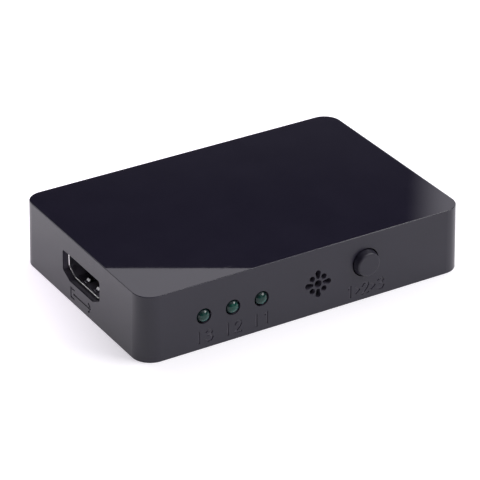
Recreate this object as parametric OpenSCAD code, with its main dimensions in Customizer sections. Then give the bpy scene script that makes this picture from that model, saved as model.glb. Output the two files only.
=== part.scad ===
// Three-input video switch box. A one-piece moulded case, closed from below by
// a flat base cover, holds a circuit board with four sockets, three indicator
// lamps, an infrared receiver behind a flower-shaped grille, and a select
// button that presses an upright snap switch.
// Frame: origin at the centre of the underside, +X along the front face to the
// right, +Y towards the input sockets at the back, +Z up. Millimetres.

/* [Case] */
// Width of the case along the front face, at the underside
case_w = 73; // [72.5:0.5:76]
// Depth of the case from the button face to the input face, at the underside
case_d = 49; // [48.5:0.5:52]
// Height of the case
case_h = 14; // [13.8:0.1:15]
// Radius of the upright corners at the underside
corner_r = 4; // [3:0.25:5]
// Wall thickness at the underside
wall_t = 2; // [1.8:0.1:2.2]
// Inward slope of each wall over its full height
draft = 0.3; // [0.1:0.05:0.5]
// Rounding of the top edge
edge_r = 0.14; // [0.1:0.02:0.4]

/* [Sockets] */
// Clear width of a socket at its wide side
port_w = 14; // [13.9:0.05:14.1]
// Clear height of a socket
port_h = 4.55; // [4.5:0.05:4.65]
// Distance between neighbouring input sockets
port_pitch = 20.5; // [19:0.25:20.75]
// Sideways place of the output socket from the middle of the left wall
output_y = -0.2; // [-1.5:0.1:1]
// How far the metal rim of a socket sits back from the face of the case
port_recess = 1.25; // [1:0.05:1.5]

/* [Indicator lamps] */
// Distance between neighbouring lamps
led_pitch = 6.35; // [5.5:0.05:6.5]
// Sideways place of the lamp nearest the grille
led_x = -10.35; // [-11:0.05:-9]
// Height of the lamp axes above the underside
led_z = 6.9; // [6.6:0.05:7.4]
// Diameter of the lamp bodies
led_d = 3; // [2.8:0.05:3.1]
// How far the lamp domes stand out of the front face
led_proud = 0.6; // [0.1:0.05:0.8]

/* [Receiver grille] */
// Sideways place of the grille
grille_x = 2.36; // [1:0.02:3]
// Height of the grille centre above the underside
grille_z = 6.4; // [6.2:0.1:6.8]
// Distance from the grille centre to the middle of a long petal
petal_r = 2.05; // [2:0.05:2.2]

/* [Select button] */
// Sideways place of the button
button_x = 13.3; // [12.5:0.1:15]
// Height of the button axis above the underside
button_z = 8; // [7.8:0.1:8.2]
// Diameter of the button cap where it leaves the front wall
button_d = 5.5; // [5.2:0.1:5.6]
// Slope of the cap side, in degrees
button_slope = 12; // [4:1:15]
// Diameter of the button hole in the front wall
button_hole_d = 6; // [6:0.1:6.4]
// How far the cap stands out of the front face at rest
button_proud = 1.4; // [0.8:0.1:1.6]
// Rounding of the cap edge
button_edge = 0.45; // [0.1:0.05:0.5]

/* [Marks] */
// Width of the engraved strokes
mark_w = 0.4; // [0.25:0.05:0.45]
// Depth of the engraved strokes
mark_t = 0.16; // [0.06:0.02:0.3]

/* [Hidden] */
$fn = 64;

hw = case_w / 2;
hd = case_d / 2;
deck_z = case_h - 2;          // underside of the top deck
in_w = hw - wall_t;           // half width of the cavity
in_d = hd - wall_t;           // half depth of the cavity
in_r = corner_r - wall_t;     // corner radius of the cavity
lip = 0.8;                    // how far the base cover reaches into the walls
base_t = 1.6;                 // thickness of the base cover
pcb_z = 2.8;                  // underside of the board
pcb_top = 4.4;                // upper face of the board
screw_x = hw - 5.5;           // screw places from the centre
screw_y = hd - 5.5;
wall_y = -in_d;               // inner face of the front wall

// Places of the outer faces at a height, with the slope of the walls
function inset(z) = draft * z / (case_h - edge_r);
function front_y(z) = -(hd - inset(z));

// ---------------------------------------------------------------- helpers
// Points of one sloped side with its rounded top edge, at half width h
function side(h) = concat([[h, 0]],
  [for (i = [0:4]) let (a = 22.5 * i)
    [h - draft - edge_r + edge_r * cos(a), case_h - edge_r + edge_r * sin(a)]]);
function both_sides(h) = concat(side(h), [for (i = [5:-1:0]) [-side(h)[i][0], side(h)[i][1]]]);

// A convex outline with its corners rounded to radius r in n steps
function rounded(p, r, n = 4) = [for (i = [0:len(p) - 1])
  let (b = p[i], a = p[(i + len(p) - 1) % len(p)], c = p[(i + 1) % len(p)],
       u = (a - b) / norm(a - b), v = (c - b) / norm(c - b),
       h = acos(u * v) / 2, m = b + (u + v) / norm(u + v) * r / sin(h),
       s = b + u * r / tan(h) - m, e = b + v * r / tan(h) - m,
       t0 = atan2(s[1], s[0]), d = atan2(e[1], e[0]) - t0,
       sweep = d > 180 ? d - 360 : (d < -180 ? d + 360 : d))
  for (k = [0:n]) m + r * [cos(t0 + sweep * k / n), sin(t0 + sweep * k / n)]];

// Block with rounded upright corners, given by its half sizes
module slab(w, d, r, z0, z1) {
  translate([-w, -(d - r), z0]) cube([2 * w, 2 * (d - r), z1 - z0]);
  translate([-(w - r), -d, z0]) cube([2 * (w - r), 2 * d, z1 - z0]);
  for (sx = [-1, 1], sy = [-1, 1])
    translate([sx * (w - r), sy * (d - r), z0]) cylinder(r = r, h = z1 - z0);
}
module at_screws() for (sx = [-1, 1], sy = [-1, 1]) translate([sx * screw_x, sy * screw_y, 0]) children();

// Prisms: an XZ outline drawn along Y from y0 to y1, and a YZ outline along X
module along_y(p, y0, y1) translate([0, y1, 0]) rotate([90, 0, 0]) linear_extrude(height = y1 - y0) polygon(p);
module along_x(p, x0, x1) translate([x0, 0, 0]) rotate([90, 0, 90]) linear_extrude(height = x1 - x0) polygon(p);

// Socket frame: local +Y leaves the socket, y = 0 is the face of its metal rim
module at_output() translate([-(hw - port_recess), output_y, 0]) rotate(90) children();
module at_input(i) translate([(2 - i) * port_pitch, hd - port_recess, 0]) children();
module at_sockets() { at_output() children(); for (i = [1:3]) at_input(i) children(); }

// Socket outline, wide side up with the two lower corners cut off; t grows it
port_top = 9.5;
port_floor = port_top - port_h;
cut_w = 2.2;
cut_h = 1.45;
function port_outline(t) =
  let (q = port_w / 2, n = [cut_h, -cut_w] / norm([cut_w, cut_h]), p = [q, port_floor + cut_h] + t * n,
       za = p[1] - (p[0] - (q + t)) * cut_h / cut_w,
       xb = p[0] - (p[1] - (port_floor - t)) * cut_w / cut_h)
  [[q + t, port_top + t], [-q - t, port_top + t], [-q - t, za], [-xb, port_floor - t], [xb, port_floor - t], [q + t, za]];
// Window in the case wall around a socket
window = [[7.5, 10.05], [-7.5, 10.05], [-7.5, 5.64], [-4.7, 4.3], [4.7, 4.3], [7.5, 5.64]];

// Engraved strokes: points in millimetres, joined by square-ended bars
one = [[0.4, 1.95], [0.8, 2.3], [0.8, 0]];
two = [[0.05, 1.75], [0.3, 2.2], [0.8, 2.3], [1.25, 2.1], [1.35, 1.65], [1.1, 1.15], [0.05, 0], [1.4, 0]];
three = [[0.05, 2.05], [0.5, 2.3], [1, 2.25], [1.3, 1.8], [1.05, 1.35], [0.55, 1.22], [1.1, 1.1], [1.4, 0.6], [1.1, 0.1], [0.55, 0], [0.05, 0.2]];
chevron = [[0, 1.75], [0.7, 1.15], [0, 0.55]];
digits = [one, two, three];
module bar(p, q) translate(p) rotate(atan2(q[1] - p[1], q[0] - p[0])) translate([-mark_w / 2, -mark_w / 2, 0])
  cube([norm(q - p) + mark_w, mark_w, mark_t + 1.5]);
module strokes(p) for (i = [0:len(p) - 2]) bar(p[i], p[i + 1]);
// Cutters start inside the wall at the engraving depth and reach past the face
module on_front(x, z) translate([x, front_y(z + 1) + mark_t, z]) rotate([90, 0, 0]) children();
module on_back(x, z) translate([x, -front_y(z + 1) - mark_t, z]) rotate([90, 0, 180]) children();
module on_left(y, z) translate([-(hw - inset(z + 1)) + mark_t, y, z]) rotate([90, 0, -90]) children();

// ---------------------------------------------------------------- case
module outer_form() {
  rotate([90, 0, 0]) linear_extrude(height = 2 * (hd - corner_r), center = true) polygon(both_sides(hw));
  rotate([90, 0, 90]) linear_extrude(height = 2 * (hw - corner_r), center = true) polygon(both_sides(hd));
  for (k = [0:3]) translate([(k == 0 || k == 3 ? 1 : -1) * (hw - corner_r), (k < 2 ? 1 : -1) * (hd - corner_r), 0])
    rotate(90 * k) rotate_extrude(angle = 90, $fn = 128) polygon(concat([[0, 0]], side(corner_r), [[0, case_h]]));
}

// One long petal of the grille: a small circle and a larger one, joined
module petal() {
  translate([petal_r - 0.6, 0, 0]) cylinder(d = 0.8, h = 4);
  translate([petal_r + 0.3, 0, 0]) cylinder(d = 1.2, h = 4);
  translate([petal_r - 0.6, 0, 0]) linear_extrude(height = 4) polygon([[0, -0.4], [0.9, -0.6], [0.9, 0.6], [0, 0.4]]);
}
module grille_cut() translate([grille_x, wall_y + 1, grille_z]) rotate([90, 0, 0]) {
  cylinder(d = 1.6, h = 4);
  for (a = [0:90:270]) rotate(a) petal();
  for (a = [45:90:315]) rotate(a) translate([1.87, 0, 0]) cylinder(d = 1.2, h = 4);
}

module front_marks() {
  for (i = [0:2]) {
    on_front(led_x - i * led_pitch + 0.35, 1.35) strokes(digits[i]);
    on_front(led_x - i * led_pitch - 1.2, 1.35) bar([0, 0], [0, 2.3]);
  }
  for (i = [0:2]) on_front(button_x - 4.3 + 3.55 * i, 1.25) strokes(digits[i]);
  for (i = [0:1]) on_front(button_x - 2.15 + 3.55 * i, 1.25) strokes(chevron);
}
module back_marks() for (i = [1:3]) on_back((2 - i) * port_pitch + 0.7, 1.2) strokes(digits[i - 1]);
// A bracket with a long arrow leaving it: the way out
module output_mark() on_left(output_y + 4.2, 1.15) {
  strokes([[1.3, 0], [0, 0], [0, 2], [1.3, 2]]);
  bar([1.2, 1], [8.2, 1]);
  strokes([[7.2, 0.1], [8.2, 1], [7.2, 1.9]]);
}

module case_shell() color([0.26, 0.255, 0.275]) difference() {
  union() {
    difference() {
      outer_form();
      slab(in_w, in_d, in_r, base_t - 0.1, deck_z);
      slab(in_w + lip, in_d + lip, in_r + lip, -1, base_t);
    }
    // Screw bosses, tied to the walls by ribs
    at_screws() translate([0, 0, pcb_top]) cylinder(d = 5, h = deck_z - pcb_top + 0.2);
    for (sx = [-1, 1], sy = [-1, 1]) {
      translate([sx > 0 ? screw_x + 1.5 : -in_w - 0.2, sy * screw_y - 0.5, pcb_top + 0.8])
        cube([in_w - screw_x - 1.3, 1, deck_z - pcb_top - 0.6]);
      translate([sx * screw_x - 0.5, sy > 0 ? screw_y + 1.5 : -in_d - 0.2, pcb_top + 0.8])
        cube([1, in_d - screw_y - 1.3, deck_z - pcb_top - 0.6]);
    }
  }
  at_screws() translate([0, 0, pcb_top - 1]) cylinder(d = 2.04, h = 7);
  at_sockets() along_y(rounded(window, 0.6), -4, 4);
  for (i = [0:2]) translate([led_x - i * led_pitch, wall_y + 1, led_z]) rotate([90, 0, 0]) cylinder(d = led_d + 0.2, h = 5);
  translate([button_x, wall_y + 1, button_z]) rotate([90, 0, 0]) cylinder(d = button_hole_d, h = 5);
  grille_cut();
  front_marks();
  back_marks();
  output_mark();
}

module base_cover() color([0.2, 0.2, 0.21]) difference() {
  union() {
    slab(in_w + lip - 0.15, in_d + lip - 0.15, in_r + lip - 0.15, 0, base_t);
    at_screws() cylinder(d = 6.4, h = pcb_z);
  }
  at_screws() {
    translate([0, 0, -1]) cylinder(d = 4.2, h = 2.5);
    cylinder(d = 2.4, h = 5);
  }
}

// Pan-head screws with a cross recess, head down in the base cover
module case_screws() color([0.35, 0.35, 0.36]) at_screws() difference() {
  rotate_extrude() polygon([[0, 0.2], [1.1, 0.22], [1.6, 0.36], [1.85, 0.7], [1.9, 0.9], [1.9, 1.5], [1, 1.5], [1, 8.6], [0.55, 9.4], [0, 9.4]]);
  for (a = [0, 90]) rotate(a) translate([-1.05, -0.22, 0]) cube([2.1, 0.44, 0.85]);
}

// ---------------------------------------------------------------- board
leg_y = [-2.8, -8.8];
module main_pcb() color([0.08, 0.32, 0.16]) difference() {
  slab(in_w - 0.3, in_d - 0.3, max(in_r - 0.3, 0.3), pcb_z, pcb_top);
  at_screws() cylinder(d = 2.4, h = 6);
  at_sockets() for (sx = [-1, 1], y = leg_y) translate([sx * (port_w / 2 + 0.175) - 0.4, y - 0.85, 0]) cube([0.8, 1.7, 6]);
  for (i = [0:2], sx = [-1, 1]) translate([led_x - i * led_pitch + sx * 1.02, lead_y, 0]) cylinder(d = 0.9, h = 6);
  for (i = [-1:1]) translate([grille_x + 1.27 * i, ir_lead_y, 0]) cylinder(d = 0.8, h = 6);
  for (sx = [-1, 1]) {
    translate([button_x + sx * 3.15 - 0.45, -18.3, 0]) cube([0.9, 1.6, 6]);
    translate([button_x + sx * 2.25, -16.45, 0]) cylinder(d = 1.1, h = 6);
  }
  // Notch that clears the retaining flange of the button
  translate([button_x - 4.4, -in_d - 1, 0]) cube([8.8, 2.9, 6]);
}

// ---------------------------------------------------------------- sockets
rim_t = 0.35;
shell_len = 11;
// Lead-in chamfer of the mouth: everything in front of it that lies inside twelve
// sloped planes, one along each side of the outline and one across each corner
flare_d = 0.1;                             // depth of the chamfer
flare_t = 0.08;                            // how far it opens the mouth
module beyond(p, a, d) translate([p[0], 0, p[1]]) rotate([0, -a, 0]) translate([d, 0, -20]) linear_extrude(height = 40)
  polygon([[flare_t * (flare_d - 0.4) / flare_d, -0.4], [8, -0.4], [8, 0.6], [flare_t * (flare_d + 0.6) / flare_d, 0.6]]);
module mouth_flare(r) difference() {
  translate([-9, -0.35, 3]) cube([18, 0.85, 8]);
  o = port_outline(0);
  for (i = [0:5]) {
    u = (o[(i + 5) % 6] - o[i]) / norm(o[(i + 5) % 6] - o[i]);
    v = (o[(i + 1) % 6] - o[i]) / norm(o[(i + 1) % 6] - o[i]);
    w = (u + v) / norm(u + v);
    beyond(o[i], atan2(-v[0], v[1]), 0);
    beyond(o[i] + w * r / sin(acos(u * v) / 2), atan2(-w[1], -w[0]), r);
  }
}
module port_shell() difference() {
  union() {
    difference() {
      along_y(rounded(port_outline(rim_t), 0.5 + rim_t), -shell_len, 0);
      along_y(rounded(port_outline(0), 0.5), -shell_len - 1, 1);
      mouth_flare(0.5);
      for (sx = [-1, 1]) {
        translate([sx * 2 - 0.85, -7.5, port_floor - 1]) cube([1.7, 6.9, 1.3]);
        translate([sx * 3.4 - 1, -7.5, port_top - 0.3]) cube([2, 6.9, 1.3]);
      }
    }
    // Spring fingers: two in the floor and two in the roof
    for (sx = [-1, 1]) {
      along_x([[-7.7, port_floor - 0.02], [-7.4, port_floor - 0.03], [-2.15, port_floor + 0.36], [-1.75, port_floor + 0.36], [-1.35, port_floor - 0.04], [-0.85, port_floor - 0.04],
               [-0.85, port_floor - 0.26], [-1.44, port_floor - 0.26], [-1.84, port_floor + 0.14], [-2.15, port_floor + 0.14], [-7.4, port_floor - 0.27], [-7.7, port_floor - 0.27]],
              sx * 2 - 0.55, sx * 2 + 0.55);
      along_x([[-7.7, port_top + 0.02], [-7.4, port_top + 0.03], [-2.1, port_top - 0.2], [-1.5, port_top - 0.2], [-0.85, port_top],
               [-0.85, port_top + 0.22], [-1.5, port_top + 0.02], [-2.1, port_top + 0.02], [-7.4, port_top + 0.27], [-7.7, port_top + 0.27]],
              sx * 3.4 - 0.7, sx * 3.4 + 0.7);
    }
    // Legs through the board
    for (sx = [-1, 1], y = leg_y)
      translate([sx > 0 ? port_w / 2 : -port_w / 2 - rim_t, y - 0.6, 2]) cube([rim_t, 1.2, 6]);
  }
}

// Tongue with a groove for every contact, and the block behind it
tongue_z = [6.55, 7.85];
module contact_rows(n, x0) for (i = [0:n - 1]) translate([x0 + i, 0, 0]) children();
module port_insulator() difference() {
  union() {
    along_y(rounded(port_outline(-0.04), 0.46), -10.9, -8.2);
    along_x([[-8.3, tongue_z[0]], [-2.3, tongue_z[0]], [-2, tongue_z[0] + 0.3], [-2, tongue_z[1] - 0.3], [-2.3, tongue_z[1]], [-8.3, tongue_z[1]]], -5.6, 5.6);
  }
  contact_rows(10, -4.5) translate([-0.21, -12, tongue_z[1] - 0.2]) cube([0.42, 9.5, 0.2 + 0.001]);
  contact_rows(9, -4) translate([-0.21, -12, tongue_z[0] - 0.001]) cube([0.42, 9.5, 0.2 + 0.001]);
}

// A contact lies in its groove, drops behind the block and ends in a flat foot
module contact(z) along_x([[-2.6, z], [-2.6, z + 0.18], [-11.3, z + 0.18], [-11.3, pcb_top + 0.2], [-12.1, pcb_top + 0.2], [-12.1, pcb_top], [-11.1, pcb_top], [-11.1, z]], -0.17, 0.17);
module port_contacts() {
  contact_rows(10, -4.5) contact(tongue_z[1] - 0.19);
  contact_rows(9, -4) contact(tongue_z[0] + 0.01);
}

steel = [0.8, 0.8, 0.82];
black = [0.08, 0.08, 0.08];
gold = [0.85, 0.65, 0.25];
module output_port_shell() color(steel) at_output() port_shell();
module output_port_insulator() color(black) at_output() port_insulator();
module output_port_contacts() color(gold) at_output() port_contacts();
module input_1_port_shell() color(steel) at_input(1) port_shell();
module input_1_port_insulator() color(black) at_input(1) port_insulator();
module input_1_port_contacts() color(gold) at_input(1) port_contacts();
module input_2_port_shell() color(steel) at_input(2) port_shell();
module input_2_port_insulator() color(black) at_input(2) port_insulator();
module input_2_port_contacts() color(gold) at_input(2) port_contacts();
module input_3_port_shell() color(steel) at_input(3) port_shell();
module input_3_port_insulator() color(black) at_input(3) port_insulator();
module input_3_port_contacts() color(gold) at_input(3) port_contacts();

// ---------------------------------------------------------------- lamps
led_tip = front_y(led_z) - led_proud;      // foremost point of the dome
led_back = led_tip + 5.3;                  // rear face of the flange
lead_y = led_back + 2;                     // where the leads turn down
module led(i) color([0.05, 0.35, 0.2]) translate([led_x - (i - 1) * led_pitch, led_back, led_z]) rotate([90, 0, 0]) difference() {
  union() {
    cylinder(r = led_d / 2 + 0.4, h = 1);
    cylinder(d = led_d, h = 5.3 - led_d / 2);
    translate([0, 0, 5.3 - led_d / 2]) sphere(d = led_d);
  }
  translate([-3 - led_d / 2, -3, -1]) cube([3, 6, 2]);
}
module led_1() led(1);
module led_2() led(2);
module led_3() led(3);

// Each lamp has a stout post with a chip cup and a slim post; both become leads
module lead_pair() {
  for (sx = [-1, 1]) along_x([[-2.2, -0.25], [0, -0.25], [1.75, -0.25], [1.75, -4.9], [2.25, -4.9], [2.25, 0.25], [0, 0.25], [-2.2, 0.25]], sx * 1.02 - 0.25, sx * 1.02 + 0.25);
  translate([0, 0, -0.25]) linear_extrude(height = 0.5) polygon([[-0.9, -2.1], [-0.9, -2.5], [-0.45, -2.9], [0.1, -2.9], [0.3, -2.6], [-0.2, -2.1]]);
}
module led_leadframes() color([0.75, 0.75, 0.76]) for (i = [0:2]) translate([led_x - i * led_pitch, led_back, led_z]) lead_pair();

// ---------------------------------------------------------------- receiver
ir_lead_y = wall_y + 3;
module ir_receiver() color([0.1, 0.08, 0.1]) {
  difference() {
    translate([grille_x - 2.6, wall_y + 1.2, pcb_top + 0.05]) cube([5.2, 2.9, 4.4]);
    for (sx = [-1, 1]) translate([grille_x + sx * 2.6, wall_y + 1.2, 0]) rotate(45) translate([-0.35, -0.35, 0]) cube([0.7, 0.7, 20]);
  }
  translate([grille_x, wall_y + 1.8, grille_z]) sphere(r = 1.6);
}
module ir_receiver_leads() color([0.75, 0.75, 0.76]) for (i = [-1:1])
  translate([grille_x + 1.27 * i - 0.22, ir_lead_y - 0.22, 2]) cube([0.44, 0.44, pcb_top + 0.05 - 2]);

// ---------------------------------------------------------------- button and switch
button_tip = front_y(button_z) - button_proud;
flange_y = wall_y + 0.1;                   // front of the retaining flange
cap_back = flange_y + 0.8;                 // rear face, against the plunger
cap_len = cap_back - button_tip;
// The cap is straight inside the wall and a blunt cone outside it; its rounded
// edge runs tangent into the cone and into the flat face
neck = cap_len - button_proud;
edge_at = [button_d / 2 - button_edge / cos(button_slope) - (button_proud - button_edge) * tan(button_slope), cap_len - button_edge];
edge_on = edge_at + button_edge * [cos(button_slope), sin(button_slope)];
module select_button() color([0.25, 0.245, 0.265]) translate([button_x, cap_back, button_z]) rotate([90, 0, 0])
  rotate_extrude($fn = 96) {
    polygon([[0, 0], [3.7, 0], [3.7, 0.8], [button_d / 2, 0.8], [button_d / 2, neck], edge_on, edge_at, [edge_at[0], cap_len], [0, cap_len]]);
    translate(edge_at) circle(r = button_edge);
  }

// Upright snap switch. Local frame: y grows towards the back, z = 0 on the button axis
sw_y = -18.6;                              // front face of the housing
module at_switch() translate([button_x, sw_y, button_z]) children();
module tact_housing() color(black) at_switch() {
  difference() {
    translate([-3, 0, -3.1]) cube([6, 2.6, 6.1]);
    translate([0, 1.4, 0]) rotate([90, 0, 0]) cylinder(d = 4.7, h = 3);
  }
  // Rivet pins that hold the cover
  for (sx = [-1, 1], sz = [-1, 1]) translate([sx * 2.3, 0, sz * 2.3]) rotate([90, 0, 0]) cylinder(d = 0.8, h = 0.4);
}
module tact_cover() color(steel) at_switch() {
  difference() {
    translate([-3.3, -0.3, -3.1]) cube([6.6, 0.3, 6.1]);
    translate([0, 1, 0]) rotate([90, 0, 0]) cylinder(d = 3.7, h = 3);
    for (sx = [-1, 1], sz = [-1, 1]) translate([sx * 2.3, 1, sz * 2.3]) rotate([90, 0, 0]) cylinder(d = 0.9, h = 3);
  }
  // Side arms folded back along the housing, each with a leg through the board
  for (sx = [-1, 1]) translate([sx > 0 ? 3 : -3.3, 0, 0])
    along_x([[-0.3, -3.1], [0.6, -3.1], [0.6, -6], [1.6, -6], [1.6, -3.1], [2.4, -3.1], [2.4, 1.5], [-0.3, 1.5]], 0, 0.3);
}
plunger_tip = cap_back + 0.03;             // just clear of the cap
module tact_plunger() color([0.12, 0.12, 0.12]) translate([button_x, sw_y + 0.95, button_z]) rotate([90, 0, 0])
  rotate_extrude() polygon([[0, 0], [1, 0], [1, 0.3], [2.15, 0.3], [2.15, 0.9], [1.75, 0.9],
    [1.75, sw_y + 0.95 - plunger_tip - 0.2], [1.55, sw_y + 0.95 - plunger_tip], [0, sw_y + 0.95 - plunger_tip]]);
// Snap dome: a thin shallow cap standing on the cavity floor
module tact_dome() color(steel) translate([button_x, sw_y + 1.39, button_z]) rotate([90, 0, 0])
  rotate_extrude() polygon(concat([for (i = [0:6]) let (r = 2.1 - 0.35 * i) [r, 0.36 * (1 - pow(r / 2.1, 2))]],
    [for (i = [6:-1:0]) let (r = 2.1 - 0.35 * i) [r, 0.36 * (1 - pow(r / 2.1, 2)) + 0.07]]));
module tact_terminals() color([0.75, 0.75, 0.76]) for (sx = [-1, 1])
  translate([button_x + sx * 2.25 - 0.35, -16.6, 2]) cube([0.7, 0.3, button_z - 3.1 - 2]);

// ---------------------------------------------------------------- board parts
ic_at = [2, -0.5];                         // switching chip
ctl_at = [19.5, -6];                       // control chip
reg_at = [27.5, 3];                        // voltage regulator
bulk_at = [25.5, -11.5];                   // bulk capacitor
module package(w, d, z0, h) difference() {
  translate([-w / 2, -d / 2, z0]) cube([w, d, h]);
  translate([-w / 2 + 1, -d / 2 + 1, z0 + h - 0.1]) cylinder(d = 0.8, h = 1);
}
module switch_ic() color(black) translate(ic_at) package(10, 10, pcb_top + 0.1, 1.4);
module control_ic() color(black) translate(ctl_at) package(4.9, 3.9, pcb_top + 0.1, 1.5);
module regulator() color(black) translate(reg_at) translate([-3.25, -1.75, pcb_top + 0.05]) cube([6.5, 3.5, 1.6]);
// Gull-wing lead leaving a package side at y = -d
module wing(d, z, w) along_x([[-d, z], [-d - 0.35, z], [-d - 0.55, pcb_top + 0.15], [-d - 1, pcb_top + 0.15], [-d - 1, pcb_top], [-d - 0.42, pcb_top], [-d - 0.22, z - 0.15], [-d, z - 0.15]], -w / 2, w / 2);
module ic_leads() color([0.75, 0.75, 0.76]) {
  translate(ic_at) for (a = [0:90:270]) rotate(a) for (i = [0:15]) translate([-3.75 + 0.5 * i, 0, 0]) wing(5, pcb_top + 0.85, 0.22);
  translate(ctl_at) for (a = [0, 180]) rotate(a) for (i = [0:3]) translate([-1.905 + 1.27 * i, 0, 0]) wing(1.95, pcb_top + 0.85, 0.4);
  translate(reg_at) {
    for (i = [-1:1]) translate([2.3 * i, 0, 0]) wing(1.75, pcb_top + 0.85, 0.7);
    rotate(180) wing(1.75, pcb_top + 0.85, 3);
  }
}
module chip(x, y, a, h) translate([x, y, pcb_top]) rotate(a) translate([-0.8, -0.4, 0]) cube([1.6, 0.8, h]);
module chip_capacitors() color([0.65, 0.5, 0.35]) {
  for (i = [0:4]) chip(-6.5, -5.5 + 2.4 * i, 90, 0.8);
  for (i = [0:4]) chip(10.5, -5.5 + 2.4 * i, 90, 0.8);
  for (i = [0:2]) chip(-18 + 3 * i, 8.5, 0, 0.8);
  for (i = [0:1]) chip(21.5 + 3 * i, 8, 0, 0.8);
}
module chip_resistors() color([0.1, 0.1, 0.12]) {
  for (i = [0:5]) chip(-5 + 2.9 * i, -10, 90, 0.45);
  for (i = [0:3]) chip(-20, -5 + 2.2 * i, 0, 0.45);
  for (i = [0:2]) chip(-22 + 6.35 * i, -13.5, 0, 0.45);
}
module bulk_capacitor() color([0.75, 0.75, 0.77]) translate([bulk_at[0], bulk_at[1], pcb_top + 0.95])
  rotate_extrude() polygon([[0, 0], [2.2, 0], [2.45, 0.2], [2.5, 0.4], [2.35, 0.8], [2.5, 1.2], [2.5, 4.2], [2.3, 4.5], [0, 4.5]]);
module bulk_capacitor_base() color(black) translate([bulk_at[0], bulk_at[1], pcb_top + 0.05])
  linear_extrude(height = 0.9) polygon([[-2.65, -2.65], [2.65, -2.65], [2.65, 1.65], [1.65, 2.65], [-1.65, 2.65], [-2.65, 1.65]]);

case_shell();
base_cover();
case_screws();
main_pcb();
output_port_shell();
output_port_insulator();
output_port_contacts();
input_1_port_shell();
input_1_port_insulator();
input_1_port_contacts();
input_2_port_shell();
input_2_port_insulator();
input_2_port_contacts();
input_3_port_shell();
input_3_port_insulator();
input_3_port_contacts();
led_1();
led_2();
led_3();
led_leadframes();
ir_receiver();
ir_receiver_leads();
select_button();
tact_housing();
tact_cover();
tact_plunger();
tact_dome();
tact_terminals();
switch_ic();
control_ic();
regulator();
ic_leads();
chip_capacitors();
chip_resistors();
bulk_capacitor();
bulk_capacitor_base();
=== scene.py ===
# Looks of the video switch box: finishes, stage, light and camera.
import math

import bmesh
import bpy
from mathutils import Matrix, Vector


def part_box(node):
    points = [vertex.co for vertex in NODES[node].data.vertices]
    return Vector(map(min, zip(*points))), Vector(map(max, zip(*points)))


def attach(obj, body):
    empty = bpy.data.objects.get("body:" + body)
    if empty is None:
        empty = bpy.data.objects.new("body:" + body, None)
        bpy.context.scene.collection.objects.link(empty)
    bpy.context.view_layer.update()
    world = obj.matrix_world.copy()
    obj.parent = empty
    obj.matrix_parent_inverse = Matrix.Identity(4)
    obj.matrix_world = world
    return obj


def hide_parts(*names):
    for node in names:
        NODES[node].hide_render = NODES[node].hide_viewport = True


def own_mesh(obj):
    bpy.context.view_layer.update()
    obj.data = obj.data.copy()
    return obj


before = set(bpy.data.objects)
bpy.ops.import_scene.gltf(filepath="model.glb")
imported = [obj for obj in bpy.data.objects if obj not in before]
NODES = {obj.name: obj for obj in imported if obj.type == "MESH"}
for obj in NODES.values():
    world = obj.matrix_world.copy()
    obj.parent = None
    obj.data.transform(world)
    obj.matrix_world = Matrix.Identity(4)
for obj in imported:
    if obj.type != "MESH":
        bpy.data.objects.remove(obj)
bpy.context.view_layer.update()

MM = 0.001
scene = bpy.context.scene


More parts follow.
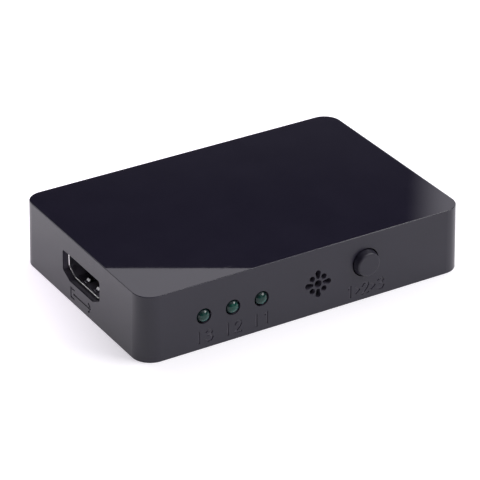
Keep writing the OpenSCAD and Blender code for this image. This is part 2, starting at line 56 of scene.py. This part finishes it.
# ------------------------------------------------------------------ material kit
class Finish:
    """A node material with short names for the nodes used here."""

    def __init__(self, name):
        self.mat = bpy.data.materials.new(name)
        self.mat.use_nodes = True
        self.tree = self.mat.node_tree
        self.shader = self.tree.nodes["Principled BSDF"]
        self.place = self.add("ShaderNodeTexCoord").outputs["Object"]

    def add(self, kind, **props):
        n = self.tree.nodes.new(kind)
        for k, v in props.items():
            setattr(n, k, v)
        return n

    def join(self, out, socket):
        self.tree.links.new(out, socket)

    def set(self, **values):
        for k, v in values.items():
            self.shader.inputs[k.replace("_", " ")].default_value = v

    def feed(self, name, out):
        self.join(out, self.shader.inputs[name])

    def stretched(self, scale, turn=(0, 0, 0)):
        m = self.add("ShaderNodeMapping")
        m.inputs["Scale"].default_value = scale
        m.inputs["Rotation"].default_value = turn
        self.join(self.place, m.inputs["Vector"])
        return m.outputs["Vector"]

    def noise(self, size_mm, detail=2.0, rough=0.5, at=None, distort=0.0):
        n = self.add("ShaderNodeTexNoise")
        n.inputs["Scale"].default_value = 1.0 / (size_mm * MM)
        n.inputs["Detail"].default_value = detail
        n.inputs["Roughness"].default_value = rough
        n.inputs["Distortion"].default_value = distort
        self.join(at or self.place, n.inputs["Vector"])
        return n.outputs["Fac"]

    def cells(self, size_mm, at=None, feature="F1"):
        n = self.add("ShaderNodeTexVoronoi", feature=feature)
        n.inputs["Scale"].default_value = 1.0 / (size_mm * MM)
        self.join(at or self.place, n.inputs["Vector"])
        return n.outputs["Distance"]

    def remap(self, out, a, b, c, d, smooth=False):
        m = self.add("ShaderNodeMapRange")
        if smooth:
            m.interpolation_type = "SMOOTHSTEP"
        for i, v in zip(("From Min", "From Max", "To Min", "To Max"), (a, b, c, d)):
            m.inputs[i].default_value = v
        self.join(out, m.inputs["Value"])
        return m.outputs["Result"]

    def calc(self, op, a, b):
        m = self.add("ShaderNodeMath", operation=op)
        for i, v in enumerate((a, b)):
            if isinstance(v, (int, float)):
                m.inputs[i].default_value = v
            else:
                self.join(v, m.inputs[i])
        return m.outputs[0]

    def mixed(self, fac, a, b):
        """Number between a and b by fac."""
        m = self.add("ShaderNodeMix", data_type="FLOAT")
        self.join(fac, m.inputs[0])
        for i, v in ((2, a), (3, b)):
            if isinstance(v, (int, float)):
                m.inputs[i].default_value = v
            else:
                self.join(v, m.inputs[i])
        return m.outputs[0]

    def tint(self, fac, a, b):
        """Colour between a and b by fac."""
        m = self.add("ShaderNodeMix", data_type="RGBA")
        self.join(fac, m.inputs[0])
        for i, v in ((6, a), (7, b)):
            if isinstance(v, (tuple, list)):
                m.inputs[i].default_value = (*v, 1.0)
            else:
                self.join(v, m.inputs[i])
        return m.outputs[2]

    def height(self):
        s = self.add("ShaderNodeSeparateXYZ")
        self.join(self.place, s.inputs[0])
        return s.outputs

    def relief(self, height, depth_mm, strength=1.0, bevel_mm=0.0):
        """Bump of that depth, over edges rounded to that radius."""
        b = self.add("ShaderNodeBump")
        b.inputs["Strength"].default_value = strength
        b.inputs["Distance"].default_value = depth_mm * MM
        self.join(height, b.inputs["Height"])
        if bevel_mm:
            e = self.add("ShaderNodeBevel", samples=6)
            e.inputs["Radius"].default_value = bevel_mm * MM
            self.join(e.outputs["Normal"], b.inputs["Normal"])
        self.feed("Normal", b.outputs["Normal"])


def wear(*names, finish):
    for n in names:
        m = NODES[n].data.materials
        m.clear()
        m.append(finish.mat)


# ------------------------------------------------------------------ plastics
def case_finish(name, polished_top, rough):
    """Near-black ABS: spark-eroded satin walls and, on the case, a polished top, with the walls of its openings
    painted paler as painted light.
    """
    f = Finish(name)
    drift = f.noise(9, 3, 0.55)
    grain = f.noise(0.16, 2, 0.6)
    coarse = f.noise(0.7, 2, 0.5)
    colour = f.tint(f.remap(drift, 0.3, 0.7, 0, 1), (0.0100, 0.0088, 0.0176), (0.0122, 0.0108, 0.0206))
    rough_side = f.remap(f.mixed(coarse, grain, drift), 0.3, 0.7, *rough)
    if polished_top:
        x, y, z = f.height()
        # Painted light: the inner walls of the openings in the front and back walls and in the left end wall get a
        # paler colour (masks below), standing in for light that falls into them.
        depth = f.calc("MULTIPLY", f.calc("ABSOLUTE", y, 0.0), -1.0)
        behind = f.calc("SUBTRACT", depth, f.calc("MULTIPLY", z, 0.0218))
        painted_light_openings = f.calc("MULTIPLY", f.remap(behind, -24.42 * MM, -24.28 * MM, 0, 1, smooth=True), f.remap(depth, -22.5 * MM, -22.4 * MM, 1, 0))
        painted_light_openings = f.calc("MULTIPLY", painted_light_openings, f.remap(z, 13.0 * MM, 13.3 * MM, 1, 0))
        painted_light_openings = f.calc("MULTIPLY", painted_light_openings, f.remap(f.calc("ABSOLUTE", x, 0.0), 31 * MM, 32 * MM, 1, 0))
        inside = f.calc("SUBTRACT", x, f.calc("MULTIPLY", z, 0.0218))
        port = f.calc("MULTIPLY", f.remap(inside, -36.42 * MM, -36.28 * MM, 0, 1, smooth=True), f.remap(x, -34.5 * MM, -34.4 * MM, 1, 0))
        port = f.calc("MULTIPLY", port, f.remap(z, 13.0 * MM, 13.3 * MM, 1, 0))
        painted_light_openings = f.calc("MAXIMUM", painted_light_openings, f.calc("MULTIPLY", port, f.remap(f.calc("ABSOLUTE", y, 0.0), 19 * MM, 20 * MM, 1, 0)))
        painted_light_openings = f.calc("MULTIPLY", painted_light_openings, f.remap(z, 0.8 * MM, 1.2 * MM, 0, 1))
        # Painted light: paler colour on the walls of the openings.
        colour = f.tint(painted_light_openings, colour, f.tint(grain, (0.040, 0.036, 0.052), (0.075, 0.068, 0.090)))
        top = f.remap(z, 13.87 * MM, 13.96 * MM, 0, 1, smooth=True)
        smear = f.noise(14, 4, 0.6, at=f.stretched((1.0, 0.35, 1.0), (0, 0, 0.5)), distort=0.6)
        hair = f.noise(0.5, 2, 0.5, at=f.stretched((0.04, 1.0, 1.0), (0, 0, 0.35)))
        rough_top = f.calc("ADD", f.remap(smear, 0.35, 0.75, 0.006, 0.016), f.remap(hair, 0.62, 0.8, 0.0, 0.02))
        f.feed("Roughness", f.mixed(top, rough_side, rough_top))
        level = f.mixed(top, grain, f.remap(coarse, 0, 1, 0.497, 0.503))
    else:
        f.feed("Roughness", rough_side)
        level = grain
    f.feed("Base Color", colour)
    f.set(IOR=1.45)
    f.relief(level, 0.004, 1.0, bevel_mm=0.07)
    return f


def moulded(name, dark, light, rough=(0.4, 0.55), grain_mm=0.2, depth=0.004, ior=1.5, bevel=0.06):
    f = Finish(name)
    drift = f.noise(4, 3)
    grain = f.noise(grain_mm, 2, 0.6)
    f.feed("Base Color", f.tint(f.remap(drift, 0.3, 0.7, 0, 1), dark, light))
    f.feed("Roughness", f.remap(grain, 0.3, 0.7, *rough))
    f.set(IOR=ior)
    f.relief(grain, depth, 1.0, bevel_mm=bevel)
    return f


case_plastic = case_finish("case_satin_and_polished", True, (0.27, 0.37))
button_plastic = case_finish("button_satin", False, (0.42, 0.52))
base_plastic = moulded("base_matt", (0.014, 0.0135, 0.0165), (0.019, 0.0185, 0.0215), (0.5, 0.65), 0.28, 0.010, bevel=0.1)
port_black = moulded("socket_black", (0.055, 0.052, 0.062), (0.075, 0.071, 0.084), (0.4, 0.55), 0.15)
switch_black = moulded("switch_black", (0.012, 0.012, 0.012), (0.02, 0.02, 0.02))
chip_black = moulded("chip_epoxy", (0.014, 0.014, 0.015), (0.024, 0.024, 0.025), (0.5, 0.7), 0.08, 0.006)


# ------------------------------------------------------------------ metals
def plated(name, dark, light, rough=(0.18, 0.3), along=(1, 1, 1), line_mm=0.12, depth=0.0012, bevel=0.05):
    """Stamped and plated sheet: drawn lines along one direction, slight staining."""
    f = Finish(name)
    lines = f.noise(line_mm, 3, 0.6, at=f.stretched(along))
    stain = f.noise(2.2, 4, 0.6)
    f.feed("Base Color", f.tint(f.remap(stain, 0.35, 0.7, 0, 1), dark, light))
    f.feed("Roughness", f.calc("ADD", f.remap(lines, 0.3, 0.7, *rough), f.remap(stain, 0.5, 0.8, 0.0, 0.06)))
    f.set(Metallic=1.0)
    f.relief(lines, depth, 1.0, bevel_mm=bevel)
    return f


def socket_metal(name, axis, rim_mm, mids_mm, along):
    """Nickel-plated shell: bright at the rim and on the rubbed crests of the spring fingers, with painted shade
    deeper in; on the rim, painted light above and painted shade below.
    """
    f = Finish(name)
    out = f.height()
    into = out[axis]
    span = out[1 - axis]
    away = 1.0 if axis == 0 else -1.0
    rim = f.remap(into, (rim_mm + away * 0.10) * MM, (rim_mm + away * 0.20) * MM, 1, 0, smooth=True)
    crest = f.remap(out[2], 4.945 * MM, 5.0 * MM, 0, 1, smooth=True)
    crest = f.calc("MULTIPLY", crest, f.remap(out[2], 5.33 * MM, 5.4 * MM, 1, 0))
    crest = f.calc("MULTIPLY", crest, f.remap(into, (rim_mm + away * 2.1) * MM, (rim_mm + away * 2.5) * MM, 1, 0))
    near = None
    for m in mids_mm:
        w = f.remap(f.calc("ABSOLUTE", f.calc("SUBTRACT", span, m * MM), 0.0), 3.2 * MM, 3.6 * MM, 1, 0)
        near = w if near is None else f.calc("MAXIMUM", near, w)
    crest = f.calc("MULTIPLY", crest, near)
    bright = f.calc("MAXIMUM", rim, crest)
    lines = f.noise(0.1, 3, 0.6, at=f.stretched(along))
    stain = f.noise(1.6, 4, 0.6)
    rubbed = f.remap(stain, 0.38, 0.62, 0, 1)
    # Painted light and shade on the rim: lighter on its upper part and darker on its lower part, by height.
    rim_lit_above_shaded_below = f.tint(f.remap(out[2], 4.95 * MM, 5.5 * MM, 0, 1), f.tint(rubbed, (0.16, 0.16, 0.16), (0.34, 0.34, 0.34)), f.tint(rubbed, (0.80, 0.79, 0.78), (0.96, 0.95, 0.94)))
    # Painted shade: the deeper inside of the shell gets a darker colour than the rim.
    painted_shade_inside = f.tint(f.remap(stain, 0.35, 0.7, 0, 1), (0.28, 0.27, 0.31), (0.40, 0.39, 0.44))
    worn = f.tint(f.remap(lines, 0.35, 0.65, 0, 1), (0.11, 0.11, 0.12), (0.26, 0.26, 0.26))
    f.feed("Base Color", f.tint(rim, f.tint(crest, painted_shade_inside, worn), rim_lit_above_shaded_below))
    f.feed("Roughness", f.mixed(bright, f.remap(lines, 0.3, 0.7, 0.34, 0.46), f.remap(lines, 0.3, 0.7, 0.16, 0.27)))
    f.set(Metallic=1.0)
    f.relief(lines, 0.0008, 1.0, bevel_mm=0.12)
    return f


nickel_x = socket_metal("nickel_end", 0, -35.25, (-0.2,), (0.1, 1, 1))
nickel_y = socket_metal("nickel_back", 1, 23.25, (-20.5, 0.0, 20.5), (1, 0.1, 1))
tin = plated("tinned_lead", (0.5, 0.5, 0.51), (0.66, 0.66, 0.67), (0.3, 0.45))
gold = plated("gold_flash", (0.62, 0.42, 0.13), (0.80, 0.58, 0.22), (0.18, 0.3))
spring = plated("spring_steel", (0.42, 0.42, 0.43), (0.58, 0.58, 0.59), (0.25, 0.4))
screw_metal = plated("black_zinc", (0.06, 0.06, 0.065), (0.13, 0.13, 0.135), (0.28, 0.45), depth=0.002)
can_metal = plated("drawn_can", (0.62, 0.62, 0.64), (0.74, 0.74, 0.76), (0.2, 0.32), along=(1, 1, 0.1))


# ------------------------------------------------------------------ lamps and receiver
def epoxy(name, dark, light, rough, ior, clear):
    f = Finish(name)
    cloud = f.noise(0.9, 3, 0.5)
    swirl = f.noise(0.25, 2, 0.5)
    f.feed("Base Color", f.tint(f.remap(cloud, 0.3, 0.7, 0, 1), dark, light))
    f.feed("Roughness", f.remap(swirl, 0.3, 0.7, *rough))
    f.set(IOR=ior, Transmission_Weight=clear)
    f.relief(swirl, 0.0006, 1.0)
    return f


def lamp(name, node, deep, pale):
    """Dark green lamp epoxy: painted shade towards the rim, and a painted reflection of the inner cup low on the
    right.
    """
    f = Finish(name)
    lo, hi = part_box(node)
    m = f.add("ShaderNodeMapping")
    k = 1.0 / (1.5 * MM)
    m.inputs["Scale"].default_value = (k, 0.0, k)
    m.inputs["Location"].default_value = (-k * (hi[0] - 1.9 * MM), 0.0, -k * (lo[2] + hi[2]) / 2)
    f.join(f.place, m.inputs["Vector"])
    reach = f.add("ShaderNodeVectorMath", operation="LENGTH")
    f.join(m.outputs["Vector"], reach.inputs[0])
    painted_light_low_right = f.add("ShaderNodeVectorMath", operation="DOT_PRODUCT")
    f.join(m.outputs["Vector"], painted_light_low_right.inputs[0])
    painted_light_low_right.inputs[1].default_value = (0.5, 0.0, -0.86)
    cloud = f.noise(0.9, 3, 0.5)
    swirl = f.noise(0.25, 2, 0.5)
    body = f.tint(f.remap(cloud, 0.3, 0.7, 0, 1), deep, pale)
    # Painted reflection: a lighter patch low on the right, where the inner cup would show through.
    body = f.tint(f.remap(painted_light_low_right.outputs["Value"], -0.05, 0.5, 0, 1, smooth=True), body, (0.010, 0.076, 0.068))
    # Painted shade: darker towards the rim of the dome.
    f.feed("Base Color", f.tint(f.remap(reach.outputs["Value"], 0.56, 0.80, 0, 1, smooth=True), body, (0.006, 0.018, 0.018)))
    f.feed("Roughness", f.remap(swirl, 0.3, 0.7, 0.03, 0.07))
    f.set(IOR=1.4, Transmission_Weight=0.15)
    f.relief(swirl, 0.0005, 1.0)
    return f


receiver_dark = epoxy("receiver_dark", (0.009, 0.006, 0.010), (0.016, 0.011, 0.017), (0.10, 0.22), 1.38, 0.0)


# ------------------------------------------------------------------ board and chips
def board():
    f = Finish("solder_mask")
    tracks = f.remap(f.cells(3.2, feature="DISTANCE_TO_EDGE"), 0.0, 0.12, 1, 0)
    drift = f.noise(6, 3)
    mask = f.tint(f.remap(drift, 0.3, 0.7, 0, 1), (0.004, 0.028, 0.012), (0.006, 0.040, 0.017))
    f.feed("Base Color", f.tint(tracks, mask, (0.010, 0.062, 0.027)))
    f.feed("Roughness", f.remap(f.noise(0.3, 2), 0.3, 0.7, 0.22, 0.36))
    f.set(IOR=1.5)
    f.relief(tracks, 0.02, 0.6)
    return f


def ceramic():
    f = Finish("fired_ceramic")
    s = f.noise(0.12, 3)
    f.feed("Base Color", f.tint(f.remap(s, 0.3, 0.7, 0, 1), (0.30, 0.19, 0.10), (0.42, 0.29, 0.17)))
    f.feed("Roughness", f.remap(s, 0.3, 0.7, 0.35, 0.55))
    f.relief(s, 0.004, 1.0)
    return f


solder_mask = board()
chip_ceramic = ceramic()

wear("case_shell", finish=case_plastic)
wear("select_button", finish=button_plastic)
wear("base_cover", finish=base_plastic)
wear("case_screws", finish=screw_metal)
wear("main_pcb", finish=solder_mask)
wear("output_port_shell", finish=nickel_x)
wear(*(f"input_{i}_port_shell" for i in (1, 2, 3)), finish=nickel_y)
wear("output_port_insulator", *(f"input_{i}_port_insulator" for i in (1, 2, 3)), finish=port_black)
wear("output_port_contacts", *(f"input_{i}_port_contacts" for i in (1, 2, 3)), finish=gold)
wear("led_1", finish=lamp("lamp_green_1", "led_1", (0.002, 0.028, 0.022), (0.003, 0.042, 0.033)))
wear("led_2", finish=lamp("lamp_green_2", "led_2", (0.001, 0.042, 0.030), (0.002, 0.060, 0.042)))
wear("led_3", finish=lamp("lamp_green_3", "led_3", (0.002, 0.030, 0.023), (0.003, 0.044, 0.034)))
wear("led_leadframes", "ir_receiver_leads", "tact_terminals", "ic_leads", finish=tin)
wear("ir_receiver", finish=receiver_dark)
wear("tact_housing", "tact_plunger", "bulk_capacitor_base", finish=switch_black)
wear("tact_cover", "tact_dome", finish=spring)
wear("switch_ic", "control_ic", "regulator", "chip_resistors", finish=chip_black)
wear("chip_capacitors", finish=chip_ceramic)
wear("bulk_capacitor", finish=can_metal)


# ------------------------------------------------------------------ snap dome
def snap_dome():
    """The spring cap under the plunger, as a copy of its own that rides on the box, while the CAD node is hidden.
    """
    o = bpy.data.objects.new("snap_dome", NODES["tact_dome"].data.copy())
    scene.collection.objects.link(o)
    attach(o, "box")
    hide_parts("tact_dome")
    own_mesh(o)


snap_dome()


# ------------------------------------------------------------------ stage
def stage_floor():
    mesh = bpy.data.meshes.new("floor")
    bm = bmesh.new()
    bmesh.ops.create_grid(bm, x_segments=8, y_segments=8, size=3.0)
    bm.to_mesh(mesh)
    bm.free()
    floor = bpy.data.objects.new("floor", mesh)
    floor.location.z = -0.05 * MM
    scene.collection.objects.link(floor)
    f = Finish("pale_floor")
    mottle = f.noise(120, 2)
    f.feed("Base Color", f.tint(mottle, (0.78, 0.78, 0.78), (0.80, 0.80, 0.80)))
    f.set(Roughness=0.9, IOR=1.3)
    # Painted light: the floor glows, a base of 0.36 with more towards the left-back and further out, in a more
    # lilac colour towards the left-back; the walls mirror this glow.
    across = f.add("ShaderNodeVectorMath", operation="DOT_PRODUCT")
    f.join(f.place, across.inputs[0])
    across.inputs[1].default_value = (-0.51, 0.86, 0.0)
    left = f.remap(across.outputs["Value"], -12 * MM, 40 * MM, 0.0, 0.35, smooth=True)
    f.feed("Emission Color", f.tint(f.remap(across.outputs["Value"], -4 * MM, 30 * MM, 0.0, 1.0, smooth=True), (1.0, 0.975, 1.03), (1.0, 0.94, 1.03)))
    reach = f.add("ShaderNodeVectorMath", operation="LENGTH")
    f.join(f.place, reach.inputs[0])
    far = f.remap(reach.outputs["Value"], 0.2, 1.0, 0.0, 0.3, smooth=True)
    f.feed("Emission Strength", f.calc("ADD", f.calc("ADD", left, far), 0.36))
    mesh.materials.append(f.mat)
    return floor


stage_floor()


def softbox(name, place, target, size, power, colour=(1, 1, 1)):
    light = bpy.data.lights.new(name, "AREA")
    light.shape = "RECTANGLE"
    light.size, light.size_y = size
    light.energy = power
    light.color = colour
    o = bpy.data.objects.new(name, light)
    o.location = place
    o.rotation_euler = (Vector(target) - Vector(place)).to_track_quat("-Z", "Y").to_euler()
    scene.collection.objects.link(o)
    return o


softbox("right_box", (0.56, -0.43, 0.61), (0, 0, 0.01), (0.56, 0.36), 5.4)
softbox("left_box", (-0.36, 0.86, 0.36), (0, 0, 0.01), (0.45, 0.45), 1.5)


def dark_flag():
    """Narrow dark panel high behind the set: the polished top mirrors it and shows its depth. It glows faintly
    along its lower part and brightly at its right end, so the mirror shows lighter strips there.
    """
    along = Vector((0.857, -0.515, 0.0))
    away = Vector((0.515, 0.857, 0.0)) * 1.007
    bm = bmesh.new()
    rows = []
    for z in (0.419, 0.47, 0.521, 0.5969):
        rows.append([bm.verts.new(away + along * x + Vector((0, 0, z))) for x in (-0.373, -0.118, 0.052, 0.1349)])
    for a, b in zip(rows, rows[1:]):
        for i in range(3):
            bm.faces.new((a[i], a[i + 1], b[i + 1], b[i]))
    mesh = bpy.data.meshes.new("dark_flag")
    bm.to_mesh(mesh)
    bm.free()
    o = bpy.data.objects.new("dark_flag", mesh)
    scene.collection.objects.link(o)
    f = Finish("flag_cloth")
    z = f.height()[2]
    across = f.add("ShaderNodeVectorMath", operation="DOT_PRODUCT")
    f.join(f.place, across.inputs[0])
    across.inputs[1].default_value = along
    side = across.outputs["Value"]
    weave = f.noise(1.2, 2)
    f.feed("Base Color", f.tint(weave, (0.008, 0.008, 0.010), (0.014, 0.014, 0.016)))
    f.set(Roughness=0.9, Emission_Color=(1.0, 0.97, 1.05, 1.0))
    # Painted light: a faint glow low on the panel and a bright glow at its right end.
    f.feed("Emission Strength", f.calc("MAXIMUM", f.remap(z, 0.5634, 0.4784, 0.0, 0.06, smooth=True), f.remap(side, 0.1026, 0.1332, 0.0, 1.1, smooth=True)))
    mesh.materials.append(f.mat)


dark_flag()

world = bpy.data.worlds.new("tent")
scene.world = world
world.use_nodes = True
wt = world.node_tree
bg = wt.nodes["Background"]
bg.inputs["Color"].default_value = (1.0, 0.972, 1.035, 1.0)
look = wt.nodes.new("ShaderNodeTexCoord").outputs["Generated"]


def toward(direction, a, b, c, d):
    """A number from c to d as a look direction turns towards the given one."""
    dot = wt.nodes.new("ShaderNodeVectorMath")
    dot.operation = "DOT_PRODUCT"
    wt.links.new(look, dot.inputs[0])
    dot.inputs[1].default_value = direction
    m = wt.nodes.new("ShaderNodeMapRange")
    m.interpolation_type = "SMOOTHSTEP"
    for i, v in zip(("From Min", "From Max", "To Min", "To Max"), (a, b, c, d)):
        m.inputs[i].default_value = v
    wt.links.new(dot.outputs["Value"], m.inputs["Value"])
    return m.outputs["Result"]


# Light tent: brightest behind the set, dim on the near side, where it has its opening
glow = toward((0.2, 0.966, 0.17), -1.0, 1.0, 0.72, 1.34)
for dark in (toward((-0.745, -0.596, 0.298), 0.55, 0.92, 1.0, 0.15), toward((0.93, -0.36, 0.06), 0.62, 0.9, 1.0, 0.2), toward((-0.66, 0.41, 0.63), 0.66, 0.92, 1.0, 0.08)):
    both = wt.nodes.new("ShaderNodeMath")
    both.operation = "MULTIPLY"
    wt.links.new(glow, both.inputs[0])
    wt.links.new(dark, both.inputs[1])
    glow = both.outputs[0]
# Its foot is bright all round, where it meets the floor
foot = wt.nodes.new("ShaderNodeMix")
wt.links.new(toward((0.0, 0.0, 1.0), 0.0368, 0.0378, 1.0, 0.0), foot.inputs[0])
wt.links.new(glow, foot.inputs[2])
foot.inputs[3].default_value = 1.06
# Above it, on the far sides, a low dark band that the polished top mirrors in flat views
band = toward((0.0, 0.0, 1.0), 0.06, 0.09, 1.0, 0.0)
for part in (toward((0.0, 0.0, 1.0), 0.0368, 0.0378, 0.0, 1.0), toward((-0.707, 0.707, 0.0), 0.25, 0.5, 0.0, 0.85)):
    both = wt.nodes.new("ShaderNodeMath")
    both.operation = "MULTIPLY"
    wt.links.new(band, both.inputs[0])
    wt.links.new(part, both.inputs[1])
    band = both.outputs[0]
tent = wt.nodes.new("ShaderNodeMix")
wt.links.new(band, tent.inputs[0])
wt.links.new(foot.outputs[0], tent.inputs[2])
tent.inputs[3].default_value = 0.02
wt.links.new(tent.outputs[0], bg.inputs["Strength"])

# ------------------------------------------------------------------ camera
az, el = math.radians(-31.059), math.radians(28.812)
back = Vector((math.sin(az) * math.cos(el), -math.cos(az) * math.cos(el), math.sin(el)))
right = Vector((math.cos(az), math.sin(az), 0.0))
up = back.cross(right)
cam = bpy.data.cameras.new("camera")
cam.sensor_width = 36.0
cam.lens = 2679.5 * 36.0 / 480.0
cam.clip_start, cam.clip_end = 0.01, 20.0
eye = bpy.data.objects.new("camera", cam)
place = (back * 535.7 + right * -0.43 + up * 4.573) * MM
eye.matrix_world = Matrix((
    (right.x, up.x, back.x, place.x),
    (right.y, up.y, back.y, place.y),
    (right.z, up.z, back.z, place.z),
    (0, 0, 0, 1),
))
scene.collection.objects.link(eye)
scene.camera = eye
scene.view_settings.view_transform = "Standard"

bpy.context.view_layer.update()
